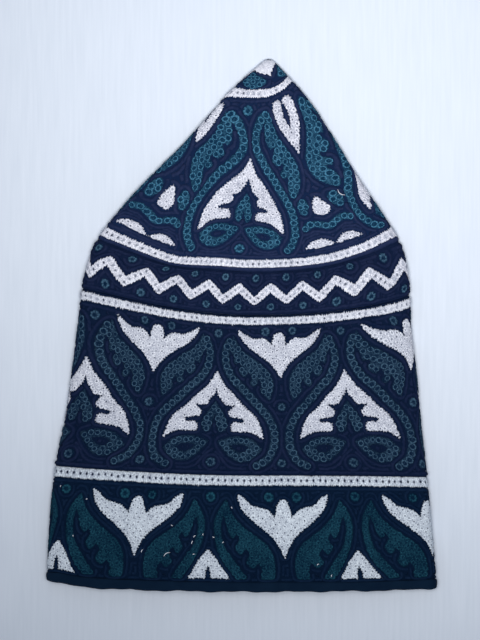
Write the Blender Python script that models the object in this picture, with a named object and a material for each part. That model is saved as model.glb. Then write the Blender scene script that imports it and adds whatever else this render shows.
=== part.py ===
"""Tall pointed prayer cap of thick embroidered cloth, folded flat and lying on its back.

The opening faces -Y, the point faces +Y and the back of the cap rests on the plane Z = 0.
Every piece is a ring of cloth that runs round the whole cap: the pointed crown, a narrow
band for a zigzag, the side wall, the lower band and the binding of the opening's edge.
All of them follow one body, which is a table of cross-sections across the flat cap.
"""

import math
from collections import namedtuple

import bmesh
import bpy
from mathutils import Vector

MM = 0.001

# Driving dimensions, in millimetres.
WALL = 2.8            # cloth with its embroidery
SEAM_GAP = 0.3        # clearance where two pieces are sewn edge to edge
SEAM_ROLL = 1.3       # how far the hem of the side wall stands proud of the lower band
BAND_PUFF = 0.7       # how far the zigzag band swells between its two seams
BINDING_WIDTH = 7.0   # binding seen from above
BINDING_PROUD = 0.5   # how far the binding stands proud of the lower band
TIP_WALL = 6.5        # solid cloth at the very point

# One row for each cross-section, in millimetres, from the opening to the point.
# middle: Y of the section on the cap's middle line.
# left, right: X of the two folds. left_lift, right_lift: how far the section bends
# towards the point where it meets that fold, as a circle round a cone does when folded flat.
# The bend grows with a power of the distance from the middle, another one on each side.
# rise: height of the front layer over the table. fold: outer radius of the two folds.
Section = namedtuple("Section", "middle left left_lift right right_lift rise fold")
SECTIONS = [
    Section(-181.2, -132.2, 3.0, 132.4, 2.0, 21.0, 5.4),
    Section(-172.9, -132.5, 4.2, 132.4, 1.9, 22.0, 5.6),
    Section(-139.0, -130.8, 6.0, 129.6, 0.5, 23.5, 5.8),
    Section(-101.0, -127.0, 6.3, 126.4, -1.4, 24.5, 5.8),
    Section(-71.2, -120.6, 8.1, 122.6, 1.2, 25.5, 5.8),
    Section(-37.3, -115.0, 12.2, 119.0, 6.1, 26.0, 5.8),
    Section(-10.2, -111.2, 15.6, 115.4, 10.8, 25.5, 5.8),
    Section(7.5, -109.5, 17.3, 115.0, 13.6, 25.0, 5.8),
    Section(22.4, -104.9, 19.0, 112.6, 15.6, 24.5, 5.7),
    Section(37.3, -98.8, 21.7, 108.4, 19.0, 23.5, 5.6),
    Section(61.0, -78.0, 24.0, 93.6, 19.0, 21.0, 5.5),
    Section(81.4, -60.2, 22.5, 80.8, 17.6, 18.5, 5.3),
    Section(105.1, -42.2, 16.3, 67.1, 16.0, 16.0, 5.1),
    Section(128.8, -28.3, 8.1, 53.7, 13.6, 13.5, 4.9),
    Section(147.1, -17.0, 2.7, 42.0, 11.5, 12.0, 4.6),
    Section(156.6, -11.0, 0.5, 34.8, 9.6, 11.0, 4.5),
    Section(168.8, 0.4, 0.2, 28.0, 4.6, 9.6, 4.2),
    Section(177.0, 9.4, 0.0, 23.4, 1.2, 7.8, 3.6),
    Section(180.4, 13.6, 0.0, 20.4, 0.0, 4.6, 2.2),
]
TIP = (16.5, 181.2, 2.2)        # the point of the cap
INNER_TIP = (14.6, 181.2 - TIP_WALL, 4.4)
LEFT_POWER = 1.6      # how the bend grows towards the left fold, and the right
RIGHT_POWER = 2.6
CORNER = 4.5          # how far the opening's left corner is rounded off
CORNER_REACH = 25.0   # how far up the cap that rounding reaches

# Where the pieces are sewn to each other, as places on the middle line.
BINDING_SEAM = -181.2 + BINDING_WIDTH
LOWER_SEAM = -101.0
WALL_SEAM = 7.5
CROWN_SEAM = 37.3

# Soft dents in the front layer: where each is, how far it reaches and how deep it is.
Dent = namedtuple("Dent", "x y reach_x reach_y depth")
DENTS = [
    Dent(-14.0, -2.0, 13.0, 9.0, 1.5),     # pucker under the white row of the side wall
    Dent(90.0, 46.0, 34.0, 7.0, 1.0),      # crease beside the crown seam, on the right
    Dent(30.0, -176.0, 10.0, 14.0, 1.3),   # the opening's edge dips here
    Dent(-76.0, -176.0, 9.0, 12.0, 1.1),   # and here
    Dent(62.0, -58.0, 40.0, 30.0, 1.4),    # slack of the side wall
    Dent(-48.0, 70.0, 22.0, 16.0, 1.2),    # left flank of the crown
]

# Points round a section: across the back, round a fold, across the front, round the other.
BACK_STEPS = 10
FRONT_STEPS = 20
FOLD_STEPS = 6
FRONT_POWER = 2.2     # how square the front layer's arch is

COLOURS = {
    "crown": (0.022, 0.040, 0.095),
    "zigzag_band": (0.024, 0.030, 0.085),
    "side_wall": (0.018, 0.034, 0.080),
    "lower_band": (0.016, 0.030, 0.068),
    "edge_binding": (0.010, 0.016, 0.042),
}


def clear_scene():
    for obj in list(bpy.data.objects):
        bpy.data.objects.remove(obj, do_unlink=True)


def section_at(middle):
    """The section at any place on the middle line, on a smooth curve through the table."""
    last = len(SECTIONS) - 1
    low = 0
    while low < last - 1 and SECTIONS[low + 1].middle <= middle:
        low += 1
    before, start, end, after = (SECTIONS[min(max(low + k, 0), last)] for k in (-1, 0, 1, 2))
    span = end.middle - start.middle
    t = min(max((middle - start.middle) / span, 0.0), 1.0)
    columns = []
    for y0, y1, y2, y3 in zip(before, start, end, after):
        slope_in = (y2 - y0) / max(end.middle - before.middle, 1e-6) * span
        slope_out = (y3 - y1) / max(after.middle - start.middle, 1e-6) * span
        columns.append(
            (2 * t**3 - 3 * t**2 + 1) * y1
            + (t**3 - 2 * t**2 + t) * slope_in
            + (3 * t**2 - 2 * t**3) * y2
            + (t**3 - t**2) * slope_out
        )
    return Section(*columns)


def outline(section):
    """Closed outline of a section as (x, z, outward x, outward z, share of the front layer)."""
    centre = (section.left + section.right) / 2
    half = (section.right - section.left) / 2
    arch = section.rise - 2 * section.fold
    lean = math.atan(FRONT_POWER * arch / half)
    top_reach = half - section.fold * (1 - math.sin(lean))
    top_start = section.fold * (1 + math.cos(lean))
    points = []
    for i in range(BACK_STEPS):
        x = (2 * i / BACK_STEPS - 1) * (half - section.fold)
        points.append((x, 0.0, 0.0, -1.0, 0.0))
    right_fold = []
    for i in range(FOLD_STEPS):
        turn = i / FOLD_STEPS
        angle = -math.pi / 2 + turn * (math.pi - lean)
        right_fold.append((math.cos(angle), math.sin(angle), turn))
    for c, s, turn in right_fold:
        points.append((half - section.fold * (1 - c), section.fold * (1 + s), c, s, turn))
    for i in range(FRONT_STEPS + 1):
        share = 1 - 2 * i / FRONT_STEPS
        x = share * top_reach
        z = top_start + (section.rise - top_start) * (1 - abs(share) ** FRONT_POWER)
        slope = -math.copysign(abs(share) ** (FRONT_POWER - 1), share) * math.tan(lean)
        length = math.hypot(slope, 1)
        points.append((x, z, -slope / length, 1 / length, 1.0))
    for c, s, turn in reversed(right_fold[1:]):
        points.append((-half + section.fold * (1 - c), section.fold * (1 + s), -c, s, turn))
    return [(centre + x, z, nx, nz, share) for x, z, nx, nz, share in points]


def dent_at(x, y):
    """How far the front layer is pressed down at this place."""
    return sum(
        d.depth * math.exp(-(((x - d.x) / d.reach_x) ** 2) - ((y - d.y) / d.reach_y) ** 2)
        for d in DENTS
    )


def bend(section, side):
    """How far the section reaches towards the point, from -1 at the left fold to 1 at the right."""
    if side >= 0:
        return section.right_lift * side**RIGHT_POWER
    fade = max(0.0, 1 - (section.middle - SECTIONS[0].middle) / CORNER_REACH) ** 2
    return section.left_lift * (-side) ** LEFT_POWER + CORNER * fade * side**8


def ring(middle, depth):
    """A closed ring of points at a place on the middle line, depth inside the cap's surface."""
    section = section_at(middle)
    centre = (section.left + section.right) / 2
    half = (section.right - section.left) / 2
    points = []
    for x, z, nx, nz, front in outline(section):
        inset = depth if depth > 0 else depth * front
        y = middle + bend(section, (x - centre) / half)
        z = z - nz * inset - dent_at(x, y) * front
        points.append(Vector((x - nx * inset, y, z)) * MM)
    return points


def join_rings(mesh, lower, upper):
    count = len(lower)
    for i in range(count):
        j = (i + 1) % count
        mesh.faces.new((lower[i], lower[j], upper[j], upper[i]))


def loft(name, profile, tips=None):
    """A solid through one ring for each (middle, depth) of a profile of the cloth's thickness.

    The profile runs up the outside and down the inside, and closes on itself, or starts and
    ends at the opening and passes through the two tips, outer and inner, after ring tip_after.
    """
    mesh = bmesh.new()
    rings = [[mesh.verts.new(p) for p in ring(middle, depth)] for middle, depth in profile]
    tip_after = tips["after"] if tips else None
    for k, lower in enumerate(rings):
        upper = rings[(k + 1) % len(rings)]
        if k != tip_after:
            join_rings(mesh, lower, upper)
            continue
        for point, edge, outward in ((tips["outer"], lower, True), (tips["inner"], upper, False)):
            top = mesh.verts.new(Vector(point) * MM)
            for i in range(len(edge)):
                a, b = edge[i], edge[(i + 1) % len(edge)]
                mesh.faces.new((a, b, top) if outward else (b, a, top))
    bmesh.ops.recalc_face_normals(mesh, faces=mesh.faces[:])
    data = bpy.data.meshes.new(name)
    mesh.to_mesh(data)
    mesh.free()
    data.shade_smooth()
    data.set_sharp_from_angle(angle=math.radians(50))
    return bpy.data.objects.new(name, data)


def wall_profile(low, high, steps, proud=None, low_trim=SEAM_GAP / 2, high_trim=SEAM_GAP / 2):
    """Profile of a plain band of cloth between two places, trimmed for the seams' clearance."""
    low, high = low + low_trim, high - high_trim
    places = [low + (high - low) * i / steps for i in range(steps + 1)]
    outside = [(m, -proud(m) if proud else 0.0) for m in places]
    inside = [(m, WALL) for m in reversed(places)]
    return outside + inside


def crown():
    rows = [CROWN_SEAM + SEAM_GAP / 2, 48, 61, 72, 82, 93, 105, 117, 129, 139, 148, 157, 164, 170,
            175, 178.5, 180.4]
    inner_rows = [r for r in rows if r < INNER_TIP[1] - 3]
    outside = [(m, 0.0) for m in rows]
    inside = [(m, WALL) for m in reversed(inner_rows)]
    tips = {"after": len(outside) - 1, "outer": TIP, "inner": INNER_TIP}
    return loft("crown", outside + inside, tips)


def zigzag_band():
    def puff(m):
        share = (m - WALL_SEAM) / (CROWN_SEAM - WALL_SEAM)
        return BAND_PUFF * math.sin(math.pi * share)

    return loft("zigzag_band", wall_profile(WALL_SEAM, CROWN_SEAM, 4, puff))


def side_wall():
    """The wall's lower edge is turned under, which leaves a roll above the lower band."""
    roll_top = LOWER_SEAM + 6.0

    def roll(m):
        share = (m - LOWER_SEAM) / (roll_top - LOWER_SEAM)
        return SEAM_ROLL * math.sin(math.pi * min(share + 0.25, 1.0)) if share < 1 else 0.0

    low, high = LOWER_SEAM + SEAM_GAP / 2, WALL_SEAM - SEAM_GAP / 2
    hem = [low, low + 2.0, low + 4.0, roll_top]
    plain = [roll_top + (high - roll_top) * i / 10 for i in range(1, 11)]
    places = hem + plain
    outside = [(m, -roll(m)) for m in places]
    inside = [(m, WALL) for m in [*reversed(plain), roll_top, low]]
    return loft("side_wall", outside + inside)


def lower_band():
    return loft("lower_band", wall_profile(BINDING_SEAM, LOWER_SEAM, 7))


def edge_binding():
    """A strip folded round the raw edge, so its profile ends in a half circle."""
    top = BINDING_SEAM - SEAM_GAP / 2
    bottom = SECTIONS[0].middle
    radius = WALL / 2
    turns = 5
    bend = []
    for i in range(turns + 1):
        angle = math.pi * i / turns
        bend.append((bottom + radius * (1 - math.sin(angle)), radius * (1 + math.cos(angle))))
    outside = [(bottom + 3.6, -BINDING_PROUD), (top - 1.0, -BINDING_PROUD), (top, 0.0)]
    inside = [(top, WALL), (bottom + 3.6, WALL)]
    return loft("edge_binding", inside + bend + outside)


def paint(obj):
    material = bpy.data.materials.new(obj.name)
    material.use_nodes = True
    shader = material.node_tree.nodes["Principled BSDF"]
    shader.inputs["Base Color"].default_value = (*COLOURS[obj.name], 1.0)
    shader.inputs["Roughness"].default_value = 0.9
    shader.inputs["Metallic"].default_value = 0.0
    obj.data.materials.append(material)


def main():
    clear_scene()
    cap = bpy.data.collections.new("prayer_cap")
    bpy.context.scene.collection.children.link(cap)
    for build in (crown, zigzag_band, side_wall, lower_band, edge_binding):
        obj = build()
        paint(obj)
        cap.objects.link(obj)


main()
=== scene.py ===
"""Looks of the folded prayer cap: embroidered cloth that lies on a pale table.

Each band of cloth is a ring round the cap's body. Its pattern is charted once, in millimetres on
the flat front as it lies, then carried to a phase and a place along the cap that run round the
whole ring, so that the back has it too. Lengths are in millimetres until a mesh is made.
"""

import math
from collections import namedtuple

import bpy
import numpy as np
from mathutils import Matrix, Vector
from mathutils.geometry import delaunay_2d_cdt
from mathutils.kdtree import KDTree


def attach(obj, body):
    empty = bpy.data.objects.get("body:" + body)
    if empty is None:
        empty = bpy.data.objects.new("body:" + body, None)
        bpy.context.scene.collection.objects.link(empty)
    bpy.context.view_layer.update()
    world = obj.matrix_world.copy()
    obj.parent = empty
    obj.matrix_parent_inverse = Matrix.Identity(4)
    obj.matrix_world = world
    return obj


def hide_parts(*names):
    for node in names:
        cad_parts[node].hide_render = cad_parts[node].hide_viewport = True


MM = 0.001
SEED = 11

# Cloth and seams.
WALL = 2.8
SEAM_ROLL = 1.3
SEAM_ROLL_WIDTH = 6.0
SEAM_DIP = 0.9
SEAM_REACH = 1.1
BAND_PUFF = 0.7
BINDING_PROUD = 0.5
BINDING_RISE = 1.4    # how far pressing draws in the opening's edge
FRONT_POWER = 2.2
LEFT_POWER = 1.6
RIGHT_POWER = 2.6
CORNER = 4.5
CORNER_REACH = 25.0
OUTER_TIP = (18.0, 181.2, 2.2)
INNER_TIP = (14.6, 174.7, 4.4)

# Cross-sections of the flat cap: place on the middle line, the left and the right fold's X, each
# with how far the section bends towards the point there, the front's height and the folds' radius.
TABLE = np.array([
    (-181.2, -132.2, 3, 132.4, 2, 21, 5.4), (-172.9, -132.5, 4.2, 132.4, 1.9, 22, 5.6),
    (-139, -130.8, 6, 129.6, 0.5, 23.5, 5.8), (-101, -127, 6.3, 126.4, -1.4, 24.5, 5.8),
    (-71.2, -120.6, 8.1, 122.6, 1.2, 25.5, 5.8), (-37.3, -115, 12.2, 119, 6.1, 26, 5.8),
    (-10.2, -111.2, 15.6, 115.4, 10.8, 25.5, 5.8), (7.5, -109.5, 17.3, 115, 13.6, 25, 5.8),
    (22.4, -104.9, 19, 112.6, 15.6, 24.5, 5.7), (37.3, -98.8, 21.7, 108.4, 19, 23.5, 5.6),
    (61, -78, 24, 93.6, 19, 21, 5.5), (81.4, -60.2, 22.5, 80.8, 17.6, 18.5, 5.3),
    (105.1, -42.2, 16.3, 67.1, 16, 16, 5.1), (128.8, -28.3, 8.1, 53.7, 13.6, 13.5, 4.9),
    (147.1, -17, 2.7, 42, 11.5, 12, 4.6), (156.6, -11, 0.5, 35.2, 9.6, 11, 4.5),
    (168.8, 1.8, 0.2, 28.2, 4.6, 9.6, 4.2), (177, 11, 0, 23.8, 1.2, 7.4, 3.2),
    (180.9, 15.4, 0, 21.2, 0, 4, 1.8),
])

# Dents: place on the front, reach each way and depth.
DENTS = [
    (-14, -2, 13, 9, 1.5), (90, 46, 34, 7, 1), (30, -176, 10, 14, 1.3), (-76, -176, 9, 12, 1.1),
    (62, -58, 40, 30, 1.4), (-48, 70, 22, 16, 1.2),
]
# The unevenness of the cloth: waves with their size, radians for each mm across and up, and start.
SLACK_WAVES = [(1, 0.083, 0.051, 0.6), (1, 0.047, -0.094, 2.1), (0.6, 0.16, 0.12, 4), (0.6, -0.13, 0.19, 1)]
SLACK = 0.14
SLACK_SUM = 3.2    # so that the front only ever sinks

# Places on the front where the stitching was pulled out of line by hand: where, how far that
# reaches each way and how far the stitches moved each way.
PULLS = [
    (-54, 82, 24, 22, 2, -6.3), (-34, 98, 12, 14, 1.3, -2.2), (72, 90, 20, 28, 4.5, 0),
    (2, 88, 24, 22, 0.6, -1), (14, 174, 12, 8, -4.6, -0.6), (27, 175.5, 7, 5, -2, 4.2),
    (84, 56, 22, 10, 0, 0.8), (-84, 16, 30, 9, 0, 0.9), (74, 31, 14, 10, 0, 2.2),
    (-48, 50, 24, 10, 3, -2.6), (-91, 38, 14, 12, -4, 1.7), (-105, 0, 9, 18, -3.6, 0.6),
    (-58, 33, 18, 9, 0, 0.9), (9, 24, 22, 9, -0.6, -1.3), (95, 33, 26, 12, 4, -0.5),
    (100, -13, 16, 20, 7.6, -2.3), (28, -17, 16, 16, -0.7, 0.2), (4, 105, 18, 30, 2, -0.8),
    (-18, 144, 12, 18, -4.6, -2), (31, 152, 12, 16, 1, 2.7), (-24, -160, 16, 14, -1.2, 0.1),
    (81, -160, 18, 14, -1.6, -1), (-70, -134, 18, 18, 0.7, 0.8), (-113, -162, 8, 14, -1.6, 0),
    (-8, 160, 9, 8, 0, 1.4), (84, 94, 10, 14, -4.4, 1.9), (70, 106, 8, 14, 2.4, 0),
    (60, 104, 8, 13, 3.2, -0.4), (102, 60, 16, 9, 0, 2.5), (-72, 90, 10, 14, -3.4, -0.4),
    (-62, 62, 16, 9, 2.4, 0.8), (48, 58, 9, 7, -1.3, -0.3), (-124, -156, 10, 22, -0.4, 1.8),
    (-105, -21, 8, 13, -2, -1.2), (-76, -72, 12, 12, 2.2, -0.4), (90, -3, 9, 9, 1.6, 0),
]

# A band of cloth. pitch is the width of one repeat at its low and high seam, as a share of the
# flat width, or None where the repeats are spread evenly round. phase is the pattern's phase at
# the front's middle. spread is how far the teeth near the middle are drawn in, and rosette is the
# size of the band's rosettes.
Band = namedtuple("Band", "name low high repeats pitch phase spread rosette")
CROWN = Band("crown", 37.3, 180.9, 3, None, None, 0, 0.95)
ZIGZAG = Band("zigzag_band", 7.5, 37.3, 21, (0.1005, 0.1005), 0.248, 3, 0.78)
SIDE = Band("side_wall", -101, 7.5, 6, (0.386, 0.361), 0.716, 0, 0.9)
LOWER = Band("lower_band", -174.2, -101, 5, (0.393, 0.379), 0.711, 0, 1)
BANDS = [CROWN, ZIGZAG, SIDE, LOWER]

# How far to the left of the front's middle the crown's axis lies, at places along the cap.
CROWN_LEAN = [(37, 8.6), (57, 8.6), (81, 10), (104, 9.7), (120, 8.4), (144, 8), (168, 4.2), (181, 4)]
CROWN_SECTOR = math.radians(55.5)    # what one repeat of the crown takes when laid flat

# Heights of the stitching, from the surface, which is the top of the stitches.
GROUND = -1.15
PATCH_RIM = -0.85
PATCH_TOP = -0.55
HOLE_FLOOR = -0.47

# One kind of eyelet. Each ring has its radius, the height of its threads, the height between
# them, and its tone from dark to light: painted shade round the hole and on the outer ring, and a
# painted highlight on the crest. bed is the tone of the thread under and between the eyelets,
# darkened there as painted shade.
Eyelet = namedtuple("Eyelet", "pitch rings hole_tone bed")
CROWN_EYELET = Eyelet(3.85, [(0.85, -0.5, -0.55, 0), (1.2, -0.3, -0.4, 0.2), (1.58, -0.1, -0.25, 1.4),
                             (2, -0.4, -0.5, 0.12)], 0, 0.17)
WALL_EYELET = Eyelet(3.8, [(0.75, -0.5, -0.55, 0), (1.12, -0.3, -0.4, 0.12), (1.55, -0.12, -0.25, 1.45),
                           (1.95, -0.4, -0.5, 0.1)], 0, 0.16)
LOWER_EYELET = Eyelet(3.4, [(0.35, -0.4, -0.45, 0.15), (0.8, -0.25, -0.35, 0.5), (1.3, -0.2, -0.3, 0.8),
                            (1.75, -0.4, -0.5, 0.38)], 0.1, 0.32)
ROSETTE = Eyelet(5, [(0.9, -0.5, -0.55, 0), (1.5, -0.3, -0.5, 0.4), (2.3, -0.15, -0.5, 1),
                     (3, -0.35, -0.7, 0.45), (3.5, -0.6, -0.85, 0.05)], 0, 0)
WHITE_EYELET = Eyelet(3.2, [(0.4, -0.5, -0.5, 0.5), (0.75, -0.28, -0.36, 0.85), (1.15, -0.26, -0.34, 1.2),
                            (1.62, -0.46, -0.5, 0.4)], 0.7, 0.5)
PIN_EYELET = Eyelet(3.5, [(0.4, -0.5, -0.5, 0.5), (0.7, -0.28, -0.36, 0.9), (1.25, -0.26, -0.34, 1.15),
                          (1.8, -0.45, -0.5, 0.65)], 0.4, 0.7)
STRIPE_EYELET = Eyelet(3.5, [(0.5, -0.5, -0.5, 0.3), (0.95, -0.3, -0.38, 0.6), (1.4, -0.24, -0.34, 1.15),
                             (1.8, -0.46, -0.52, 0.55)], 0.7, 0.7)
THREADS = 8

# Charts. Points are millimetres on the flat front of the cap as it lies. Each run of an outline is
# a smooth line from where the last one ended, and runs meet in corners.
WALL_TULIP = [
    [(25.5, -35), (23.5, -31.5), (19.5, -26), (13, -20.5), (5.5, -15), (0, -9), (-2.5, -2.5)],
    [(3, -6), (7.5, -8.5), (14.5, -8.5), (18.5, -11), (21, -14)],
    [(21, -10.5), (22, -6.5), (23.5, -5), (25.5, -4.5)],
]
WALL_HEART = [
    [(-16.5, -30), (-11, -40), (-4, -47.5), (3, -55.5), (8.5, -60), (12.5, -66.5), (15, -76.5)],
    [(9.5, -73), (4, -71.5), (-7, -71)],
    [(-7, -66)],
    [(-4, -65), (0.5, -65.5)],
    [(2.5, -63)],
    [(-2, -62), (-7.5, -61), (-8.5, -58), (-6.5, -55.5), (-3.5, -53.5)],
    [(-10.5, -53), (-13.5, -49), (-16, -45.5), (-16.8, -41.5)],
]
WALL_SPADE = [
    [(-17.6, -50.5), (-14.5, -55.5), (-11, -61), (-9.8, -66), (-10.7, -69.7), (-13, -71.2)],
    [(-15.6, -70.3), (-16.6, -66), (-17.9, -59)],
]
WALL_LENS = [
    [(-16.6, -77.6), (-8.5, -74.9), (-1, -74.5), (7.2, -76.7), (13.9, -83.3)],
    [(8.5, -88.8), (2, -91.6), (-4.8, -90.8), (-11.5, -85.2), (-16.6, -77.6)],
]
WALL_STEM = [(-8, -10), (-10.7, -17.5), (-10.5, -25.5), (-6.5, -34.5), (1.5, -43), (9.5, -52),
             (17.5, -61), (21.7, -70), (22, -79.5), (19, -88), (15.5, -91.5), (10, -94.5)]
WALL_LEAF = [
    [(-5.5, -6), (-2.5, -12), (0, -16), (3.5, -18.5), (11.5, -24.5), (19, -31.5), (21.5, -40.5),
     (19, -50.5)],
    [(13.5, -44.5), (12.5, -42.5), (13.5, -39.5), (11, -35.5)],
    [(11, -38.5), (7.5, -41), (5.5, -38.5), (7, -35.5), (5, -31)],
    [(1.5, -34.5), (-2, -30.5), (-0.5, -26.5), (-2, -24.5)],
    [(-3.5, -26), (-5, -25), (-5.5, -20), (-8, -15), (-7, -10.5), (-5.5, -6)],
]
WALL_ROSETTES = [(16.5, -3.5), (-15.5, -5), (27, -54.5), (27, -92.5), (-20.8, -91.5)]

LOWER_TULIP = [
    [(28.5, -157.5), (26.2, -151.5), (21.3, -143.8), (14.8, -137.6), (8.4, -132.4), (2.6, -126.6),
     (-0.8, -121), (-2.4, -113.6)],
    [(2.4, -116.4), (7, -121.3), (12.5, -122.6), (18, -124.8), (22.5, -129.5)],
    [(24, -123), (26, -118.3), (28.3, -117.5)],
]
LOWER_HEART = [
    [(-23, -151), (-18, -157), (-13, -164.5), (-9, -171)],
    [(-15, -170.5), (-21, -170.5)],
    [(-21.5, -165), (-23, -161)],
]
LOWER_WISHBONE = [
    [(-10.5, -117), (-6, -127.5), (1, -135.5), (9.5, -142), (16.5, -147.5), (21.5, -155), (23, -165),
     (22, -171.5)],
    [(13, -171.5)],
    [(14, -165.5), (11.5, -160.5)],
    [(7.5, -164), (3.5, -160), (5.5, -154), (3, -150.5)],
    [(-0.5, -154.5), (-4, -150), (-1.5, -144), (-3, -140)],
    [(-6, -143.5), (-9, -139), (-10.5, -133.5), (-12.5, -128)],
    [(-14, -137), (-11.5, -148.5), (-5.5, -157.5), (4, -171)],
    [(-3, -171.5)],
    [(-12, -159.5), (-17.5, -146), (-18.5, -132), (-15, -123.5), (-10.5, -117)],
]
LOWER_ROSETTES = [(18.5, -115.5), (-21, -115)]

CROWN_HEART = [
    [(5, 115), (8.5, 105.5), (15.5, 96), (22.5, 85.5), (28.2, 74.5), (30.8, 62)],
    [(23.5, 68.2), (17.5, 70.8), (10.5, 72.5)],
    [(10.5, 76), (12, 78)],
    [(17.5, 77.3), (18.7, 78.8), (16, 80.5), (12, 82.5), (10.5, 85.5), (12.5, 88.5)],
    [(9, 90), (6, 95), (4, 102.5)],
]
CROWN_SPADE = [
    [(1.5, 92), (5.5, 83.5), (7, 77.5), (6.3, 73), (4, 70.5)],
    [(2.5, 73.5), (1.5, 79.5)],
]
CROWN_LENS = [
    [(0.6, 67), (7.5, 68.2), (14, 67.7), (21, 65.3), (27.4, 59.5)],
    [(24.5, 54.2), (18.5, 52), (12.2, 53.2), (6.6, 58), (0.6, 67)],
]
CROWN_STEM = [(15.5, 142.5), (11.5, 137.5), (8.7, 129), (9, 120), (13.5, 110.5), (20.5, 100), (27.5, 89),
              (33.5, 78.5), (36, 67), (35.7, 60), (33.8, 54.5), (31, 51)]
CROWN_LEAF = [
    [(18, 145), (19.5, 139), (24, 129), (31, 119.5), (37, 111), (39.7, 100), (38.4, 91.5), (35.8, 86.3)],
    [(33, 87.4), (31.4, 92.5), (31.2, 97.5), (30.8, 101.5)],
    [(28.3, 100), (25.5, 103.5), (28, 107.5), (27, 110.5)],
    [(23.5, 108.7), (19.7, 112.5), (20.7, 116.5), (21, 121.5)],
    [(18.5, 120), (16, 124), (14.7, 132), (15.5, 139), (18, 145)],
]
CROWN_TULIP = [
    [(39, 117), (33.4, 124), (26.8, 132), (22.3, 140), (20.5, 146.6)],
    [(21.2, 150.2), (23.9, 151.2), (25.9, 149)],
    [(26.4, 144.6), (28.6, 138.6), (33.4, 132.4)],
]
CROWN_DROP = [
    [(49.8, 88.7), (48.6, 85.5), (47.6, 80), (48.6, 76.3), (50.8, 75), (53.5, 75)],
]
CROWN_DOME = [
    [(43.8, 52.1), (48, 57), (54.5, 59.2), (62.5, 55.7)],
    [(43.8, 52.1)],
]
CROWN_BUD = [
    [(39, 86.2), (42, 86), (44.3, 82.5), (44.6, 78.5), (43.5, 75.3), (40.2, 75.3), (38, 78.5), (37.6, 83),
     (39, 86.2)],
]
CROWN_GARLAND = [(43, 66), (45.5, 68.5), (49, 69), (53, 68.4), (57.3, 67.2)]
CROWN_ROSETTES = [(4, 146), (-1.6, 53)]

# The petals round the very point are charted as (phase, place along the cap).
TIP_PETAL = [
    [(0, 160.8), (0.22, 162.5), (0.37, 166)],
    [(0.22, 170), (0, 173)],
]

# The white star that closes the point: its edge's inner and outer corners and its top along the
# cap, its height, and how far it goes down into the point.
STAR_LOW = 168.0
STAR_HIGH = 175.0
STAR_TOP = 180.8
STAR_LEVEL = -0.3
STAR_DEPTH = -2.1

# How eyelets fill a patch: the inset of the first row and the least distance from the edge as
# shares of the eyelet's radius, then the next row's inset, the steps of the search along a row
# and the least distance between two eyelets as shares of their pitch.
FIRST_ROW = 0.92
LEAST_EDGE = 0.7
NEXT_ROW = 0.88
SEARCH_STEP = 0.5
LEAST_GAP = 0.86

# How unevenly eyelets are worked, and the radius and tone between threads as shares of the
# threads' own; the lower tone between threads is painted shade.
SIZE_SPREAD = 0.06
PLACE_SPREAD = 0.2
HEIGHT_SPREAD = 0.04
TONE_SPREAD = 0.25
GROOVE_RADIUS = 0.94
GROOVE_TONE = 0.5

# Steps of outlines, and of the grids on which patches are meshed and measured.
OUTLINE_STEP = 0.9
PATCH_GRID = 2.1
PATCH_FIELD = 0.4

# What each band's pattern is made of: kind, thread, phase of the axis and chart. A whole shape is
# charted by one half of it and mirrored on its axis, a pair stands on both sides of the axis, an
# arch is half of a line on its axis.
SHAPES = {
    "side_wall": [
        ("whole", "white", 1, WALL_TULIP), ("whole", "white", 0.5, WALL_HEART),
        ("whole", "teal", 0.5, WALL_SPADE), ("pair", "teal", 1, WALL_LEAF),
        ("lens", "teal", 0.5, WALL_LENS), ("stem", "teal", 1, WALL_STEM),
        ("rosettes", "teal", 1, WALL_ROSETTES),
    ],
    "lower_band": [
        ("whole", "white", 1, LOWER_TULIP), ("whole", "white", 0.5, LOWER_HEART),
        ("pair", "teal", 1, LOWER_WISHBONE), ("rosettes", "teal", 1, LOWER_ROSETTES),
    ],
    "crown": [
        ("whole", "white", 0, CROWN_HEART), ("whole", "white", 0.5, CROWN_TULIP),
        ("whole", "white", 0.5, CROWN_DROP), ("pair", "white", 0.5, CROWN_DOME),
        ("whole", "teal", 0, CROWN_SPADE), ("petal", "teal", 0, TIP_PETAL),
        ("pair", "teal", 0, CROWN_LEAF), ("pair", "teal", 0.5, CROWN_BUD),
        ("lens", "teal", 0, CROWN_LENS), ("stem", "teal", 0, CROWN_STEM),
        ("arch", "teal", 0.5, CROWN_GARLAND), ("rosettes", "teal", None, CROWN_ROSETTES),
    ],
    "zigzag_band": [],
}
STEM_WIDTH = 5.3
ARCH_WIDTH = STEM_WIDTH * 0.85
STEM_PITCH = 4.4
LENS_INSET = 2.2
LENS_EYE = (0.42, 0.31)

# White stripes that run right round: centre along the cap, width, distance between eyelets and
# the tone of the painted shade in their holes.
Stripe = namedtuple("Stripe", "band centre width pitch hole_tone")
STRIPES = [
    Stripe(CROWN, 157.6, 5.3, 3.7, 0.75),
    Stripe(CROWN, 42.3, 5.0, 3.7, 0.7),
    Stripe(SIDE, 3.5, 4.6, 3.7, 0.7),
    Stripe(LOWER, -104.3, 6.5, 4.6, 0.0),
]
ZIGZAG_LOW = 17.6
ZIGZAG_HIGH = 27.2
ZIGZAG_WIDTH = 5.2
ZIGZAG_ROUNDING = 1.25
ZIGZAG_PITCH = 3.6
ZIGZAG_ROSETTES = [(0.0, 13.4), (0.5, 33.0)]

# Cords that echo the shapes.
CORD_SPACING = 2.75
CORD_HALF = 1.3      # half a cord's width
CORD_STEP = 1.4
CORD_ROWS = 6
CORD_FIRST = 1.4     # from a shape to the middle of its first cord
CORD_START = 0.75    # where the line is taken that is then moved there
CORD_CLEAR = 1.5     # least distance between the middles of two cords
CORD_FIELD = 0.45
CLIMB = 2.4          # how far such a line can move
CLIMB_STEP = 0.2
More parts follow.
